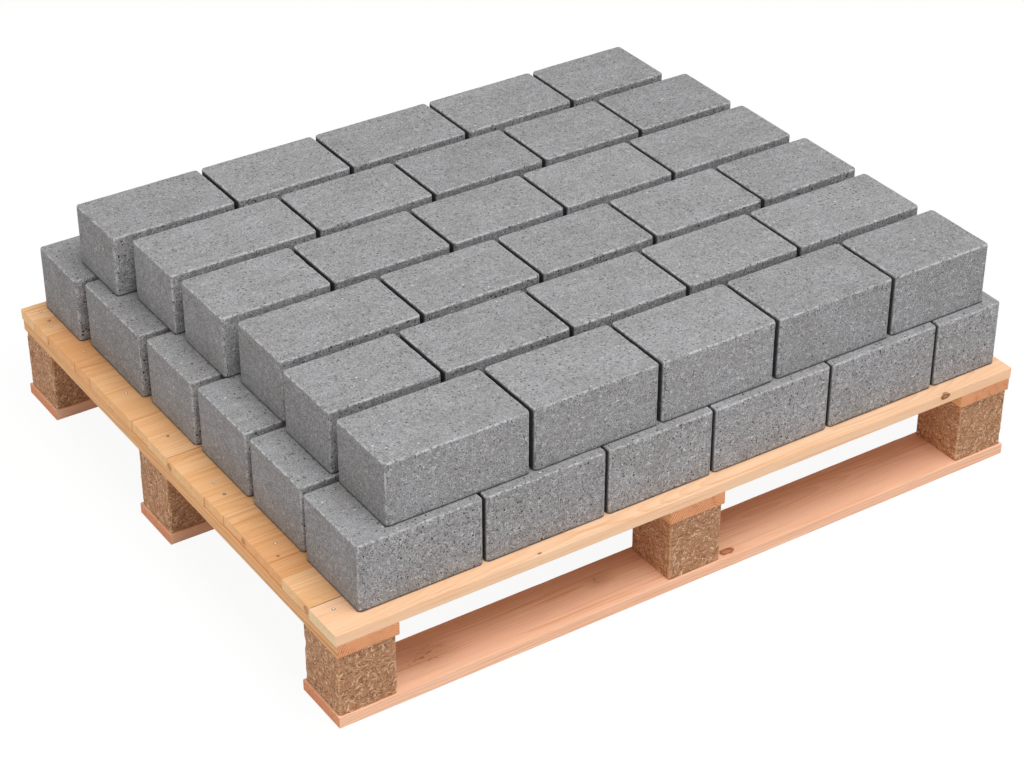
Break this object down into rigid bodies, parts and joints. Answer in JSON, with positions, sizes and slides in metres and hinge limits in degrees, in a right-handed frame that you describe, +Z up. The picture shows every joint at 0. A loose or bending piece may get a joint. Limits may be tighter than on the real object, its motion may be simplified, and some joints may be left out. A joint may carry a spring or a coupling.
{
  "type": "pallet of ballast blocks",
  "caption": "Wooden four-way block pallet carrying two flat layers of loose rectangular concrete ballast blocks laid in a broken bond.",
  "frame": {"origin": "middle of the pallet's footprint, on the ground", "axes": "+X along the pallet's long side, +Y from front to rear along the short side, +Z up"},
  "size_m": [1.2, 1, 0.371],
  "materials": {
    "concrete": "matt cast concrete, fine pores and pale specks",
    "deck_wood": "sawn light softwood",
    "stringer_wood": "sawn softwood with reddish end grain",
    "bottom_wood": "planed reddish softwood",
    "chipboard": "pressed wood chips"
  },
  "bodies": {
    "root": {"bottom_board_front": "bottom_wood", "bottom_board_middle": "bottom_wood", "bottom_board_rear": "bottom_wood", "chip_block_front_left": "chipboard", "chip_block_front_middle": "chipboard", "chip_block_front_right": "chipboard", "chip_block_middle_left": "chipboard", "chip_block_middle_middle": "chipboard", "chip_block_middle_right": "chipboard", "chip_block_rear_left": "chipboard", "chip_block_rear_middle": "chipboard", "chip_block_rear_right": "chipboard", "deck_board_01": "deck_wood", "deck_board_02": "deck_wood", "deck_board_03": "deck_wood", "deck_board_04": "deck_wood", "deck_board_05": "deck_wood", "deck_board_06": "deck_wood", "deck_board_07": "deck_wood", "deck_board_08": "deck_wood", "deck_board_09": "deck_wood", "deck_board_10": "deck_wood", "deck_board_11": "deck_wood", "deck_board_12": "deck_wood", "deck_board_13": "deck_wood", "deck_board_14": "deck_wood", "lower_block_row_1": "concrete", "lower_block_row_2": "concrete", "lower_block_row_3": "concrete", "lower_block_row_4": "concrete", "lower_block_row_5": "concrete", "lower_block_row_6": "concrete", "stringer_left": "stringer_wood", "stringer_middle": "stringer_wood", "stringer_right": "stringer_wood", "upper_block_row_1": "concrete", "upper_block_row_2": "concrete", "upper_block_row_3": "concrete", "upper_block_row_4": "concrete", "upper_block_row_5": "concrete", "upper_block_row_6": "concrete"}
  },
  "joints": []
}
